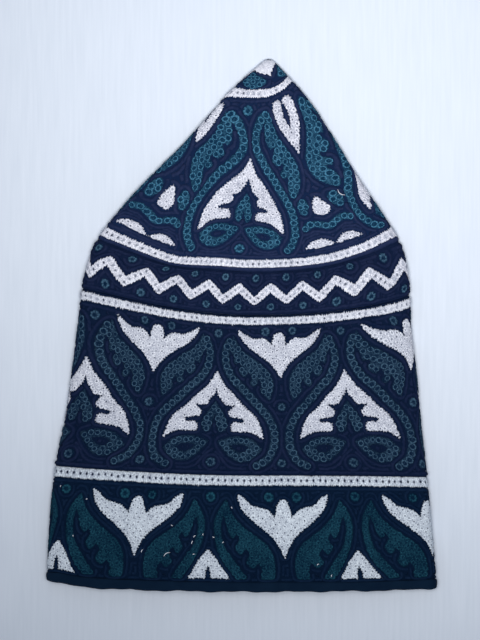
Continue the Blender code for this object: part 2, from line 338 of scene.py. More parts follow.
# Across a cord: share of the half width, height and tone, which is painted shade at the sides
# and a painted highlight on the crest.
CORD_PROFILE = [(-1.0, GROUND - 0.1, 0.2), (-0.62, -0.62, 0.65), (0.0, -0.35, 0.9), (0.62, -0.62, 0.65),
                (1.0, GROUND - 0.1, 0.2)]

# Loose ends of white thread that lie on the front: place, length and direction in degrees.
THREAD_ENDS = [
    (-122.5, -108.3, 1.2, 60), (-104.9, -117.1, 1.4, 20), (-113.7, -142.2, 1.2, 100),
    (-67.6, -152.3, 2.2, 60), (-47.3, -134.7, 1.4, 150), (-50.6, -154.4, 5, 30), (-25.9, -140.8, 1.3, 80),
    (-31.7, -142.2, 2, 40), (-33, -146.2, 2.4, 70), (-31.7, -154.4, 1.5, 10), (-6.6, -122.5, 1.4, 120),
    (-12.3, -146.2, 1.2, 45), (-18.8, -142.5, 1.4, 160), (51.7, -161.2, 1.6, 30), (61.2, -168.6, 1.5, 75),
    (62.6, 88.9, 6.5, 140), (22.6, 173.8, 1.4, 0),
]
THREAD_RADIUS = 0.26

# Meshes of the plain cloth: distance between rows, extra rows beside a seam, and columns on the
# front, the fold and the back of each half.
CLOTH_STEP = 2.4
SEAM_ROWS = (0.6, 1.3)
CLOTH_COLUMNS = (56, 15, 40)
RIBBON_STEP = 0.7

# In metres: what the picture shows from top to bottom, the camera's height and the table's.
VIEW_HEIGHT = 0.4339
CAMERA_UP = 6.0
TABLE_LEVEL = -0.0003

rng = np.random.default_rng(SEED)


# The body's surface

def pairs(x, y):
    return np.stack([x, y], axis=-1)


def sections(along):
    """The table's values at places along the cap, on smooth curves."""
    along = np.asarray(along, float)
    last = len(TABLE) - 1
    row = np.clip(np.searchsorted(TABLE[:, 0], along, side="right") - 1, 0, last - 1)
    before, start, end, after = (TABLE[np.clip(row + k, 0, last)] for k in (-1, 0, 1, 2))
    span = end[..., :1] - start[..., :1]
    t = np.clip((along[..., None] - start[..., :1]) / span, 0, 1)
    slope_in = (end - before) / (end[..., :1] - before[..., :1]) * span
    slope_out = (after - start) / (after[..., :1] - start[..., :1]) * span
    curve = (
        (2 * t**3 - 3 * t**2 + 1) * start
        + (t**3 - 2 * t**2 + t) * slope_in
        + (3 * t**2 - 2 * t**3) * end
        + (t**3 - t**2) * slope_out
    )
    return np.moveaxis(curve, -1, 0)


def arch(along):
    """A section's bends, centre, half width, height, fold, and the slope and reach of its front."""
    middle, left, left_lift, right, right_lift, rise, fold = sections(along)
    half = (right - left) / 2
    lean = np.arctan(FRONT_POWER * (rise - 2 * fold) / half)
    reach = half - fold * (1 - np.sin(lean))
    return (middle, left_lift, right_lift), (left + right) / 2, half, rise, fold, lean, reach


def ring_sizes(along):
    """Where the front's arch ends, where the fold ends and the half ring, as distances round."""
    _, _, half, _, fold, lean, reach = arch(along)
    front_end = reach + fold * (math.pi - lean)
    return reach, front_end, front_end + half - fold


def half_ring(along):
    return ring_sizes(along)[2]


def bend(middle, left_lift, right_lift, side):
    """How far a section bends towards the point, at a share of the half width from its centre."""
    share = np.abs(side)
    fade = np.clip(1 - (middle - TABLE[0, 0]) / CORNER_REACH, 0, 1) ** 2
    left = left_lift * share**LEFT_POWER + CORNER * fade * share**8
    return np.where(side < 0, left, right_lift * share**RIGHT_POWER)


def fading(x, y, reach_x, reach_y):
    return np.exp(-((x / reach_x) ** 2) - (y / reach_y) ** 2)


def sunk(x, y):
    """How far the front sinks in: its dents and the gentle unevenness of hand-worked cloth."""
    dents = sum(depth * fading(x - at_x, y - at_y, *reach) for at_x, at_y, *reach, depth in DENTS)
    waves = sum(size * np.sin(across * x + up * y + start) for size, across, up, start in SLACK_WAVES)
    return dents + SLACK * (waves + SLACK_SUM)


def pulled(around, along):
    """Where stitches that were pulled out of line come to lie."""
    shift_around = 0.0
    shift_along = 0.0
    for (_, _, reach_x, reach_y, shift_x, shift_y), (run, level) in zip(PULLS, PULL_PLACES):
        share = fading(around - run, along - level, reach_x, reach_y)
        shift_around = shift_around + shift_x * share
        shift_along = shift_along + shift_y * share
    return around + shift_around, along + shift_along


def surface(around, along, height):
    """Points at these distances round the cap from its front's middle, at places along it."""
    around, along, height = np.broadcast_arrays(around, along, height)
    around, along = pulled(around, along)
    bends, centre, half, rise, fold, lean, reach = arch(along)
    turn_length = fold * (math.pi - lean)
    run = np.abs(around)
    side = np.where(around < 0, -1.0, 1.0)
    share = np.clip(run / reach, 0, 1)
    turned = np.clip((run - reach) / turn_length, 0, 1)
    angle = math.pi / 2 - lean - turned * (math.pi - lean)
    on_arch = run < reach
    top = fold * (1 + np.cos(lean))
    slope = share ** (FRONT_POWER - 1) * np.tan(lean)
    length = np.hypot(slope, 1)
    back_run = np.maximum(run - reach - turn_length, 0)
    x = np.where(on_arch, run, half - fold * (1 - np.cos(angle)) - back_run)
    z = np.where(on_arch, top + (rise - top) * (1 - share**FRONT_POWER), fold * (1 + np.sin(angle)))
    nx = np.where(on_arch, slope / length, np.cos(angle)) * side
    nz = np.where(on_arch, 1 / length, np.sin(angle))
    y = along + bend(*bends, side * x / half)
    x = centre + side * x
    z = z - sunk(x, y) * np.where(on_arch, 1.0, 1 - turned)
    return np.stack([x + nx * height, y, z + nz * height], axis=-1)


def on_front(points):
    """Distance from the front's middle and place along the cap of points seen from above."""
    x, y = np.asarray(points, float).T
    along = y
    for _ in range(12):
        bends, centre, half, *_ = arch(along)
        along = y - bend(*bends, (x - centre) / half)
    return x - arch(along)[1], along


PULL_PLACES = np.transpose(on_front([pull[:2] for pull in PULLS]))


def proud(band, along):
    """How far a band's front swells above the plain surface, with a dip at each seam."""
    seams = (band.low, band.high)
    low_dip, high_dip = (SEAM_DIP * np.exp(-(((along - seam) / SEAM_REACH) ** 2)) for seam in seams)
    if band is CROWN:
        return -low_dip
    swell = 0.0
    if band is ZIGZAG:
        share = (along - band.low) / (band.high - band.low)
        swell = BAND_PUFF * np.sin(math.pi * np.clip(share, 0, 1))
    if band is SIDE:
        roll = (along - band.low) / SEAM_ROLL_WIDTH
        swell = np.where(roll < 0.75, SEAM_ROLL * np.sin(math.pi * np.clip(roll + 0.25, 0, 1)), 0.0)
    return swell - low_dip - high_dip


# Phases of the pattern round a band

def front_phase(band, along):
    """The pattern's phase at the front's middle."""
    if band is not CROWN:
        return band.phase
    return np.interp(along, *np.transpose(CROWN_LEAN)) * band.repeats / (2 * half_ring(along))


def front_pitch(band, along):
    """Width of one repeat on the front."""
    low, high = band.pitch
    share = (along - band.low) / (band.high - band.low)
    return (low + (high - low) * share) * 2 * arch(along)[2]


def around_of(band, phase, along):
    """Distance round the ring at which a phase of the band's pattern falls."""
    _, front_end, half = ring_sizes(along)
    turn = (phase - front_phase(band, along) + band.repeats / 2) % band.repeats - band.repeats / 2
    if band is CROWN:
        return turn / band.repeats * 2 * half
    pitch = front_pitch(band, along)
    run = np.abs(turn)
    last = front_end / pitch
    share = run * pitch / front_end
    front = run * pitch - band.spread * (share - share**3)
    back = front_end + (run - last) * (half - front_end) / (band.repeats / 2 - last)
    return np.sign(turn) * np.where(run < last, front, back)


def to_pattern(band, points):
    """(phase, along) of points given as millimetres on the flat front, seen from above."""
    run, along = on_front(points)
    if band is CROWN:
        turn = run * band.repeats / (2 * half_ring(along))
    else:
        turn = run / front_pitch(band, along)
    return pairs(front_phase(band, along) + turn, along)


# The band's cloth cut open and laid flat, in true millimetres. The crown's opens to a sector
# whose rings keep their length.

CROWN_PLACES = np.linspace(30.0, CROWN.high, 600)
CROWN_RADII = 2 * half_ring(CROWN_PLACES) / (CROWN.repeats * CROWN_SECTOR)


def sheet_pitch(band):
    return float(front_pitch(band, np.array((band.low + band.high) / 2)))


def to_sheet(band, pattern):
    phase, along = np.asarray(pattern, float).T
    if band is CROWN:
        radius = np.interp(along, CROWN_PLACES, CROWN_RADII)
        angle = phase * CROWN_SECTOR
        return pairs(radius * np.sin(angle), -radius * np.cos(angle))
    return pairs(phase * sheet_pitch(band), along)


def from_sheet(band, sheet, repeat=0):
    """The pattern's values at points of the flat cloth, some repeats further round."""
    x, y = np.asarray(sheet, float).T
    if band is CROWN:
        along = np.interp(np.hypot(x, y), CROWN_RADII[::-1], CROWN_PLACES[::-1])
        return pairs(np.arctan2(x, -y) / CROWN_SECTOR + repeat, along)
    return pairs(x / sheet_pitch(band) + repeat, y)


def mirrored(band, sheet, axis):
    return to_sheet(band, from_sheet(band, sheet) * (-1, 1) + (2 * axis, 0))


# Lines and outlines on the flat cloth

def smooth_line(points, steps=6):
    """A Catmull-Rom curve through points."""
    points = np.asarray(points, float)
    if len(points) < 3:
        return points
    padded = np.concatenate([2 * points[:1] - points[1:2], points, 2 * points[-1:] - points[-2:-1]])
    t = np.arange(steps)[:, None] / steps
    pieces = [
        0.5 * (2 * b + (c - a) * t + (2 * a - 5 * b + 4 * c - d) * t**2 + (3 * b - a - 3 * c + d) * t**3)
        for a, b, c, d in zip(padded, padded[1:], padded[2:], padded[3:])
    ]
    return np.concatenate([*pieces, points[-1:]])


def resample(line, step, closed=False):
    """The line cut into equal lengths near step."""
    if closed:
        line = np.concatenate([line, line[:1]])
    lengths = np.hypot(*np.diff(line, axis=0).T)
    total = np.concatenate([[0], np.cumsum(lengths)])
    count = max(int(round(total[-1] / step)), 1)
    places = np.linspace(0, total[-1], count + 1)
    if closed:
        places = places[:-1]
    return pairs(*(np.interp(places, total, line[:, k]) for k in (0, 1)))


def outline(band, chart, axis=None, charted=to_pattern):
    """Closed outline on the flat cloth. With an axis, the chart is one half of it."""
    starts = [[], *([run[-1]] for run in chart)]
    runs = [charted(band, [*start, *run]) for start, run in zip(starts, chart)]
    if axis is not None:
        ends = np.array([runs[0][0], runs[-1][-1]])
        ends = ends[np.argsort(ends[:, 1])]
        for run in runs:
            run[:, 0] += np.interp(run[:, 1], ends[:, 1], axis - ends[:, 0])
    pieces = [resample(smooth_line(to_sheet(band, run)), OUTLINE_STEP)[:-1] for run in runs]
    if axis is None:
        return np.concatenate(pieces)
    half = np.concatenate([*pieces, to_sheet(band, runs[-1][-1:])])
    return np.concatenate([half, mirrored(band, half, axis)[::-1][1:-1]])


def directions(line):
    along = np.gradient(line, axis=0)
    return along / np.maximum(np.hypot(*along.T), 1e-9)[:, None]


def normals(line):
    x, y = directions(line).T
    return pairs(-y, x)


def headings(ways):
    return np.arctan2(ways[:, 1], ways[:, 0])


def on_circle(turns):
    return pairs(np.cos(turns), np.sin(turns))


def circle(count):
    """Turns that are spread evenly round a circle."""
    return np.arange(count) * math.tau / count


def outline_tree(loops):
    """Points close together on some loops, in a tree that finds the nearest one."""
    points = np.concatenate([resample(loop, 0.3, closed=True) for loop in loops])
    tree = KDTree(len(points))
    for k, (x, y) in enumerate(points.tolist()):
        tree.insert((x, y, 0), k)
    tree.balance()
    return tree


def distance(points, tree):
    return np.array([tree.find((x, y, 0))[2] for x, y in points.tolist()])


def inside(points, shapes):
    """Which points lie inside any of some shapes. Each is an outline with those of its holes."""
    found = np.zeros(len(points), bool)
    for loops in shapes:
        rim = np.concatenate(loops)
        near = np.flatnonzero(((points > rim.min(axis=0)) & (points < rim.max(axis=0))).all(axis=1))
        x0, y0 = rim.T
        x1, y1 = np.concatenate([np.roll(loop, -1, axis=0) for loop in loops]).T
        slope = (x1 - x0) / (y1 - y0 + 1e-12)
        for k in range(0, len(near), 2000):
            part = near[k : k + 2000]
            x, y = points[part].T[..., None]
            crosses = ((y0 > y) != (y1 > y)) & (x < slope * (y - y0) + x0)
            found[part] |= crosses.sum(axis=1) % 2 == 1
    return found


class Field:
    """Depth inside some shapes, negative outside them, on a grid of the flat cloth."""

    def __init__(self, shapes, low, high, step):
        self.step = step
        self.xs = np.arange(low[0], high[0], step)
        self.ys = np.arange(low[1], high[1], step)
        self.grid = pairs(*np.meshgrid(self.xs, self.ys)).reshape(-1, 2)
        self.flat = distance(self.grid, outline_tree([loop for loops in shapes for loop in loops]))
        self.flat[~inside(self.grid, shapes)] *= -1
        self.depth = self.flat.reshape(len(self.ys), len(self.xs))

    def read(self, table, points):
        """The table's values at points, between those of the grid."""
        column = np.clip((points[:, 0] - self.xs[0]) / self.step, 0, len(self.xs) - 1.001)
        row = np.clip((points[:, 1] - self.ys[0]) / self.step, 0, len(self.ys) - 1.001)
        i, j = row.astype(int), column.astype(int)
        s, t = row - i, column - j
        low = table[i, j] * (1 - t) + table[i, j + 1] * t
        high = table[i + 1, j] * (1 - t) + table[i + 1, j + 1] * t
        return low * (1 - s) + high * s

    def contour(self, level):
        """Lines on which the depth has this level."""
        above = self.depth > level
        first = above[:-1, :-1]
        mixed = (first != above[1:, :-1]) | (first != above[:-1, 1:]) | (first != above[1:, 1:])
        links = {}
        for i, j in np.argwhere(mixed).tolist():
            corners = [(i, j), (i, j + 1), (i + 1, j + 1), (i + 1, j), (i, j)]
            keys = [(0, i, j), (1, i, j + 1), (0, i + 1, j), (1, i, j)]
            edges = [key for key, a, b in zip(keys, corners, corners[1:]) if above[a] != above[b]]
            for a, b in zip(edges[::2], edges[1::2]):
                links.setdefault(a, []).append(b)
                links.setdefault(b, []).append(a)
        lines = []
        seen = set()
        ends = [key for key, near in links.items() if len(near) == 1]
        for start in ends + list(links):
            line = []
            onward = [start]
            while onward and onward[0] not in seen:
                line.append(onward[0])
                seen.add(onward[0])
                onward = [key for key in links[line[-1]] if key not in seen]
            if len(line) > 3:
                if line[0] in links[line[-1]]:
                    line.append(line[0])
                lines.append(np.array([self.crossing(level, *key) for key in line]))
        return lines

    def crossing(self, level, up, i, j):
        here = self.depth[i, j]
        t = (level - here) / (self.depth[i + up, j + 1 - up] - here) * self.step
        return self.xs[j] + t * (1 - up), self.ys[i] + t * up


# Motifs

Motif = namedtuple("Motif", "loops centres turns eyelet stretch")


def filled(eyelet, loops, inset=None):
    """A patch whose eyelets follow its outline in rows, from the edge inwards."""
    everything = np.concatenate(loops)
    field = Field([loops], everything.min(axis=0) - 0.5, everything.max(axis=0) + 0.5, PATCH_FIELD)
    edge = eyelet.rings[-1][0]
    inset = inset or edge * FIRST_ROW
    chosen = []
    while inset < field.flat.max():
        for line in field.contour(inset):
            chosen.extend(resample(line, eyelet.pitch * SEARCH_STEP))
        inset += eyelet.pitch * NEXT_ROW
    chosen.extend(field.grid[field.flat > edge * LEAST_EDGE])
    kept = chosen[:1]
    for point in chosen:
        if np.hypot(*(np.array(kept) - point).T).min() > eyelet.pitch * LEAST_GAP:
            kept.append(point)
    kept = spread_out(np.array(kept), field.grid[field.flat > 0])
    return Motif(loops, kept, np.zeros(len(kept)), eyelet, (1.0, 1.0))


def spread_out(centres, grid):
    """Centres drawn half way to the middles of the patches that are nearest to them."""
    for _ in range(3):
        owner = ((grid[:, None] - centres[None]) ** 2).sum(axis=2).argmin(axis=1)
        count = np.maximum(np.bincount(owner, minlength=len(centres)), 1)
        sums = (np.bincount(owner, weights=grid[:, k], minlength=len(centres)) for k in (0, 1))
        centres = (centres + pairs(*sums) / count[:, None]) / 2
    return centres


def chain(eyelet, line, width):
    """A ribbon with a single row of eyelets and rounded ends."""
    fine = resample(line, 1.0)
    offset = normals(fine) * width / 2
    ahead = directions(fine) * width / 2
    end = [fine[-1] + ahead[-1] * 0.7 + side * offset[-1] * 0.7 for side in (1, -1)]
    start = [fine[0] - ahead[0] * 0.7 + side * offset[0] * 0.7 for side in (-1, 1)]
    loop = np.concatenate([fine + offset, end, (fine - offset)[::-1], start])
    centres = resample(line, STEM_PITCH)
    edge = eyelet.rings[-1][0]
    return Motif([loop], centres, headings(directions(centres)), eyelet,
                 (STEM_PITCH / 2 / edge, width / 2 / edge))


def rosette(band, centre):
    loop = centre + on_circle(circle(14)) * ROSETTE.rings[-1][0] * band.rosette * 0.95
    return Motif([loop], np.array([centre]), np.zeros(1), ROSETTE, (band.rosette, band.rosette))


def both_sides(band, motif, axis):
    """The motif and its mirror image."""
    loops = [mirrored(band, loop, axis)[::-1] for loop in motif.loops]
    centres = mirrored(band, motif.centres, axis)
    heads = mirrored(band, motif.centres + on_circle(motif.turns) * 0.1, axis)
    return [motif, motif._replace(loops=loops, centres=centres, turns=headings(heads - centres))]


def motifs_of(band, kind, axis, chart, eyelet):
    """The motifs of one shape of the band's pattern."""
    if kind == "whole":
        return [filled(eyelet, [outline(band, chart, axis)])]
    if kind == "petal":
        return [filled(eyelet, [outline(band, chart, axis, lambda _, points: np.array(points, float))])]
    if kind == "pair":
        return both_sides(band, filled(eyelet, [outline(band, chart)]), axis)
    if kind == "lens":
        outer = outline(band, chart)
        middle = outer.mean(axis=0)
        eye = middle + (outer - middle) * LENS_EYE
        return both_sides(band, filled(eyelet, [outer, eye], LENS_INSET), axis)
    pattern = to_pattern(band, chart)
    if kind == "stem":
        line = smooth_line(to_sheet(band, pattern))
        return both_sides(band, chain(CROWN_EYELET, line, STEM_WIDTH), axis)
    if kind == "arch":
        pattern[-1, 0] = axis
        half = smooth_line(to_sheet(band, pattern))
        line = np.concatenate([half, mirrored(band, half, axis)[::-1][1:]])
        return [chain(CROWN_EYELET, line, ARCH_WIDTH)]
    found = [rosette(band, place) for place in to_sheet(band, pattern)]
    if axis is not None:
        found.append(both_sides(band, found[0], axis)[1])
    return found


# Meshes from patterns

class Stitches:
    """Gathers points in a band's pattern, with their heights and tones, into one mesh."""

    def __init__(self, band):
        self.band = band
        self.points = []
        self.faces = []
        self.count = 0

    def add(self, pattern, heights, faces, tones):
        count = len(pattern)
        self.points.append((pattern, np.broadcast_to(heights, count), np.broadcast_to(tones, count)))
        self.faces.append(faces + self.count)
        self.count += count

    def build(self, name, material):
        pattern, heights, tones = (np.concatenate(values) for values in zip(*self.points))
        phase, along = pattern.T
        around = around_of(self.band, phase, along)
        heights = heights + proud(self.band, along) * front_share(around, along)
        return make_mesh(name, surface(around, along, heights), self.faces, material, tones)


def front_share(around, along):
    """1 on the front, falling to 0 round the fold."""
    reach, front_end, _ = ring_sizes(along)
    return np.clip((front_end - np.abs(around)) / (front_end - reach), 0, 1)


def placed(name, data):
    obj = bpy.data.objects.new(name, data)
    bpy.context.scene.collection.objects.link(obj)
    return obj


def make_mesh(name, points, blocks, material, tones=None):
    """An object with smooth faces, which come in blocks of numbered points."""
    mesh = bpy.data.meshes.new(name)
    mesh.from_pydata((points * MM).tolist(), [], [face for block in blocks for face in block.tolist()])
    mesh.validate()
    if tones is not None:
        layer = mesh.attributes.new("tone", "FLOAT", "POINT")
        layer.data.foreach_set("value", np.asarray(tones, np.float32))
    mesh.shade_smooth()
    mesh.materials.append(material)
    return placed(name, mesh)


def strip(first, second, width):
    """Faces between two rings of points."""
    here = np.arange(width)
    there = (here + 1) % width
    return np.stack([first + here, first + there, second + there, second + here], axis=-1)


INWARD = (3, 2, 1, 0)


def grid_faces(rows, width, first=0, order=(0, 1, 2, 3), closed=True):
    """Faces of rings of points, one after another, or of rows where they aren't closed."""
    strips = [strip(first + k * width, first + (k + 1) * width, width) for k in range(rows - 1)]
    return np.concatenate([faces if closed else faces[:-1] for faces in strips])[:, order]


def copies(faces, count, size):
    """The faces of count things of size points each, one after another."""
    return (faces + (np.arange(count) * size)[:, None, None]).reshape(-1, faces.shape[1])


def triangulated(loops):
    """Points and triangles of a patch, finer than the cloth's folds."""
    everything = np.concatenate(loops)
    low, high = everything.min(axis=0), everything.max(axis=0)
    grid = pairs(*np.meshgrid(*(np.arange(low[k], high[k], PATCH_GRID) for k in (0, 1))))
    grid[::2, :, 0] += PATCH_GRID / 2
    grid = grid.reshape(-1, 2)
    grid = grid[inside(grid, [loops])]
    tree = outline_tree(loops)
    if len(grid):
        grid = grid[distance(grid, tree) > 0.9]
    edges = []
    for loop in loops:
        first = len(edges)
        edges += [(first + k, first + (k + 1) % len(loop)) for k in range(len(loop))]
    points, _, faces, *_ = delaunay_2d_cdt([Vector(p) for p in [*everything, *grid]], edges, [], 0, 1e-5)
    points = np.array([point[:] for point in points])
    faces = np.array([face for face in faces if len(face) == 3])
    faces = faces[inside(points[faces].mean(axis=1), [loops])]
    return points, faces, distance(points, tree)


def add_patch(stitches, motif, ragged, tooth=0.0):
    """The solid bed of thread under a motif's eyelets, once for each repeat of the band."""
    band = stitches.band
    points, faces, depth = triangulated(motif.loops)
    count = len(points)
    teeth = np.concatenate([normals(loop) * np.where(np.arange(len(loop)) % 2, tooth, -tooth)[:, None]
                            for loop in motif.loops])
    starts = faces.reshape(-1)
    ends = np.roll(faces, -1, axis=1).reshape(-1)
    single = ~np.isin(starts * count + ends, ends * count + starts)
    starts, ends = starts[single], ends[single]
    low_rim = np.full(count, -1)
    low_rim[starts] = count + np.arange(len(starts))
    skirt = np.stack([starts, low_rim[starts], low_rim[ends]], axis=-1)
    skirt_top = np.stack([starts, low_rim[ends], ends], axis=-1)
    rim = low_rim >= 0
    depth[rim] = 0
    top = PATCH_RIM + (PATCH_TOP - PATCH_RIM) * (1 - np.exp(-depth / 0.6))
    heights = np.concatenate([top, np.full(len(starts), GROUND - 0.25)])
    all_faces = np.concatenate([faces, skirt, skirt_top])
    for repeat in range(band.repeats):
        moved = points + np.where(rim[:, None], rng.normal(0, ragged, (count, 2)), 0)
        moved[: len(teeth)] += teeth
        pattern = from_sheet(band, np.concatenate([moved, moved[starts]]), repeat)
        stitches.add(pattern, heights, all_faces, motif.eyelet.bed + rng.normal(0, 0.1, len(pattern)))


def laid(band, places, local, turns, repeat):
    """The pattern of small shapes, each turned and moved to its place."""
    c, s = np.cos(turns)[:, None], np.sin(turns)[:, None]
    x, y = local[..., 0], local[..., 1]
    turned = pairs(x * c - y * s, x * s + y * c)
    return from_sheet(band, (places[:, None] + turned).reshape(-1, 2), repeat)


def add_eyelets(stitches, holes, motif, repeats=None):
    """Rings of radial threads, each thread a ridge that runs up out of the hole and down."""
    band = stitches.band
    eyelet = motif.eyelet
    rings = len(eyelet.rings)
    count = len(motif.centres)
    sectors = THREADS * 2
    thread = np.arange(sectors) % 2 == 0
    radii, high, low, tones = np.array(eyelet.rings, float).T[..., None]
    radii = (np.where(thread, 1.0, GROOVE_RADIUS) * radii).reshape(-1)
    heights = np.where(thread, high, low).reshape(-1)
    tones = np.where(thread, tones, tones * GROOVE_TONE).reshape(-1)
    faces = copies(grid_faces(rings, sectors, order=(0, 3, 2, 1)), count, rings * sectors)
    # Each hole is a flat disc at the eyelet's middle, darkened as painted shade.
    disc = on_circle(circle(8)) * eyelet.rings[0][0] * 1.2
    disc = np.concatenate([[[0.0, 0.0]], disc]) * motif.stretch
    fans = copies(np.array([(0, 1 + k, 1 + (k + 1) % 8) for k in range(8)]), count, 9)
    for repeat in repeats or range(band.repeats):
        spin = rng.uniform(0, math.tau, count)[:, None] + circle(sectors)
        size = rng.normal(1.0, SIZE_SPREAD, (count, 1))
        places = motif.centres + rng.normal(0, PLACE_SPREAD, (count, 2))
        local = on_circle(np.tile(spin, (1, rings))) * (radii * size)[..., None] * motif.stretch
        height = heights + rng.normal(0, HEIGHT_SPREAD, (count, 1))
        tone = tones * rng.uniform(0.75, 1.0, (count, 1))
        tone = tone + rng.normal(0, TONE_SPREAD, tone.shape)
        pattern = laid(band, places, local, motif.turns, repeat)
        stitches.add(pattern, height.reshape(-1), faces, tone.reshape(-1))
        pattern = laid(band, places, np.broadcast_to(disc, (count, 9, 2)), motif.turns, repeat)
        tone = eyelet.hole_tone * rng.uniform(0.1, 1.5, count)
        holes.add(pattern, HOLE_FLOOR, fans, np.repeat(tone, 9))


def add_ribbon(stitches, phase, low, high, close=False):
    """A ribbon of thread right round a band, between two edges, or closed over the cap's point."""
    count = len(phase)
    low = low - ragged_edge(count)
    high = high if close else high + ragged_edge(count)
    profile = [(0.0, GROUND - 0.2), (0.0, PATCH_RIM)]
    if close:
        profile += [(share, STAR_LEVEL) for share in np.linspace(0.06, 1.0, 14)] + [(1.0, STAR_DEPTH)]
    else:
        profile += [(0.12, PATCH_TOP), (0.88, PATCH_TOP), (1.0, PATCH_RIM), (1.0, GROUND - 0.2)]
    rows = [pairs(phase, low + share * (high - low)) for share, _ in profile]
    heights = np.repeat([height for _, height in profile], count)
    tones = STRIPE_EYELET.bed + rng.normal(0, 0.12, len(heights))
    stitches.add(np.concatenate(rows), heights, grid_faces(len(profile), count), tones)


def ragged_edge(count):
    """Stitch ends that stand out by turns, unevenly."""
    return np.where(np.arange(count) % 2, 0.5, -0.3) + rng.normal(0, 0.28, count)


# Stripes, zigzag and the star at the point

def zigzag_edges(phase):
    pitch = sheet_pitch(ZIGZAG)
    slope = (ZIGZAG_HIGH - ZIGZAG_LOW) / (pitch / 2)
    half_height = ZIGZAG_WIDTH / 2 * math.hypot(1, slope)
    from_peak = np.abs((phase + 0.5) % 1.0 - 0.5) * pitch
    from_valley = np.abs(phase % 1.0 - 0.5) * pitch
    high = ZIGZAG_HIGH + half_height - slope * np.hypot(from_peak, ZIGZAG_ROUNDING)
    low = ZIGZAG_LOW - half_height + slope * np.hypot(from_valley, ZIGZAG_ROUNDING)
    return low, high


def star_edges(phase):
    share = np.abs(phase % 1.0 - 0.5) * 2
    return STAR_LOW + (STAR_HIGH - STAR_LOW) * share**0.7, STAR_TOP


def ribbons(band):
    """Functions of the phase that give the two edges of each ribbon right round a band."""
    found = [
        lambda phase, centre=stripe.centre, half=stripe.width / 2: (centre - half, centre + half)
        for stripe in STRIPES if stripe.band is band
    ]
    if band is ZIGZAG:
        found.append(zigzag_edges)
    if band is CROWN:
        found.append(star_edges)
    return found


def add_stripes(band, white, stars, holes):
    """The ribbons of white thread of a band, with their eyelets."""
    for edges in ribbons(band):
        columns = int(half_ring(edges(0.0)[0]) / RIBBON_STEP / band.repeats) * 2 * band.repeats
        phase = np.arange(columns) * band.repeats / columns
        add_ribbon(white, phase, *edges(phase), close=edges is star_edges)
    edge = STRIPE_EYELET.rings[-1][0]
    for stripe in STRIPES:
        if stripe.band is band:
            count = int(round(2 * half_ring(stripe.centre) / stripe.pitch))
            places = np.arange(count) * band.repeats / count - band.repeats / 2
            level = np.full(count, stripe.centre)
            centres = to_sheet(band, pairs(places, level))
            turns = headings(to_sheet(band, pairs(places + 0.001, level)) - centres)
            stretch = (stripe.pitch / 2 / edge * 0.97, (stripe.width / 2 - 0.25) / edge)
            eyelet = STRIPE_EYELET._replace(hole_tone=stripe.hole_tone)
            add_eyelets(stars, holes, Motif([], centres, turns, eyelet, stretch), [0])
    if band is ZIGZAG:
        corners = [(-0.5, ZIGZAG_LOW), (0.0, ZIGZAG_HIGH), (0.5, ZIGZAG_LOW)]
        centres = resample(to_sheet(band, corners), ZIGZAG_PITCH)[:-1]
        stretch = (1.0, ZIGZAG_WIDTH / 2 / edge * 0.95)
        turns = headings(directions(centres))
        add_eyelets(stars, holes, Motif([], centres, turns, STRIPE_EYELET, stretch))


# Cords between the motifs

def bars(band):
    """Ribbons and seams as closed loops on the flat cloth, a little wider than one repeat."""
    spare = 1.0 if band is ZIGZAG else 0.6
    phase = np.linspace(-spare, 1 + spare, 400)
    found = [edges(phase) for edges in ribbons(band)]
    found.append((band.low - 3, band.low + 0.1))
    if band is not CROWN:
        found.append((band.high - 0.1, band.high + 3))
    loops = []
    for edges in found:
        low, high = (to_sheet(band, pairs(phase, edge + phase * 0)) for edge in edges)
        loops.append(np.concatenate([low, high[::-1]]))
    return loops


def climb(field, points):
    """Points carried away from the shapes, at most to the middle of the gap that they are in."""
    up_y, up_x = np.gradient(-field.depth, field.ys, field.xs)
    here = field.read(-field.depth, points)
    for _ in range(int(CLIMB / CLIMB_STEP)):
        way = pairs(field.read(up_x, points), field.read(up_y, points))
        trial = points + way / np.maximum(np.hypot(*way.T), 1e-6)[:, None] * CLIMB_STEP
        there = field.read(-field.depth, trial)
        better = there > here
        points = np.where(better[:, None], trial, points)
        here = np.where(better, there, here)
    return points, here


def echoes(field):
    """Lines round the shapes, one behind another. A gap that only takes one has it in its middle."""
    found = []
    for order in range(CORD_ROWS):
        level = CORD_START + CORD_SPACING * order
        centre = CORD_FIRST + CORD_SPACING * order
        for line in field.contour(-level):
            line = resample(line, CORD_STEP)
            peak, reach = climb(field, line)
            wide = np.clip((reach - CORD_SPACING * (order + 1)) / 0.5, 0, 1)
            target = wide * centre + (1 - wide) * reach
            share = (target - level) / np.maximum(reach - level, 0.05)
            line = line + (peak - line) * share[:, None]
            for _ in range(2):
                line[1:-1] = (line[:-2] + 2 * line[1:-1] + line[2:]) / 4
            found.append(line)
    return sorted(found, key=len, reverse=True)


